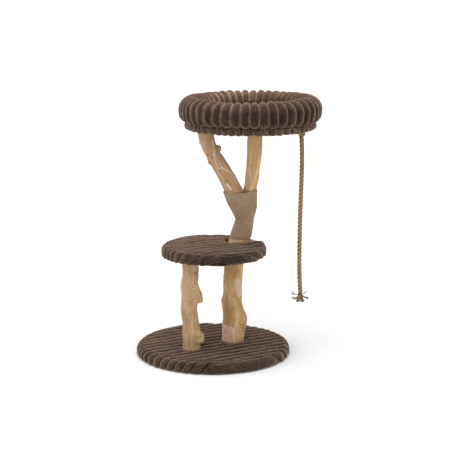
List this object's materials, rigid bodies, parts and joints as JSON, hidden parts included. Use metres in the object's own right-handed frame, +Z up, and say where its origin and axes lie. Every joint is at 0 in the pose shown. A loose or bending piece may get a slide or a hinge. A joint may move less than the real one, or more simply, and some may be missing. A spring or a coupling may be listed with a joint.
{
  "type": "cat tree",
  "caption": "Cat tree with a round plush base, a small plush platform and a lift-off ring bed, carried on natural forked wood, with a hanging rope.",
  "frame": {"origin": "centre of the base's flat underside, where the tree rests on the floor", "axes": "+Z up, -Y the front, +X towards the side that the bed and the rope are on"},
  "size_m": [0.5974, 0.5375, 0.83],
  "materials": {
    "board": "matte",
    "plush": "matte",
    "felt": "matte",
    "foam": "matte",
    "timber": "matte",
    "pale_timber": "matte",
    "steel": "satin",
    "jute": "matte",
    "tape": "matte",
    "rope": "matte"
  },
  "bodies": {
    "stand": {"base_board": "board", "base_cover": "plush", "base_liner": "felt", "base_staples": "steel", "base_screws": "steel", "base_washers": "steel", "short_post": "timber", "main_stem": "timber", "left_branch": "pale_timber", "fork_screws": "steel", "jute_wrap": "jute", "platform_board": "board", "platform_foam": "foam", "platform_cover": "plush", "platform_liner": "felt", "platform_staples": "steel", "platform_screws": "steel", "platform_bracket": "steel", "bracket_screws": "steel", "seat_board": "board", "seat_cover": "plush", "seat_liner": "felt", "seat_staples": "steel", "seat_screws": "steel", "seat_washers": "steel", "hook_tapes": "tape", "rope_stopper": "rope"},
    "bed": {"loop_tapes": "tape", "bed_floor": "felt", "bed_bolster": "plush"},
    "cushion": {"bed_cushion": "plush"},
    "knot": {"rope_knot": "rope"},
    "rope": {"rope_line": "rope", "rope_fray": "rope"}
  },
  "joints": [
    {"name": "bed_lift", "type": "slide", "parent": "stand", "child": "bed", "axis": [0, 0, 1], "range_m": [0, 0.15]},
    {"name": "cushion_lift", "type": "slide", "parent": "bed", "child": "cushion", "axis": [0, 0, 1], "range_m": [0, 0.12]},
    {"name": "rope_swing_front", "type": "hinge", "parent": "stand", "child": "knot", "pos_m": [0.281, 0, 0.7155], "axis": [1, 0, 0], "range_deg": [-60, 60]},
    {"name": "rope_swing_side", "type": "hinge", "parent": "knot", "child": "rope", "pos_m": [0.281, 0, 0.7155], "axis": [0, 1, 0], "range_deg": [-60, 13]}
  ]
}
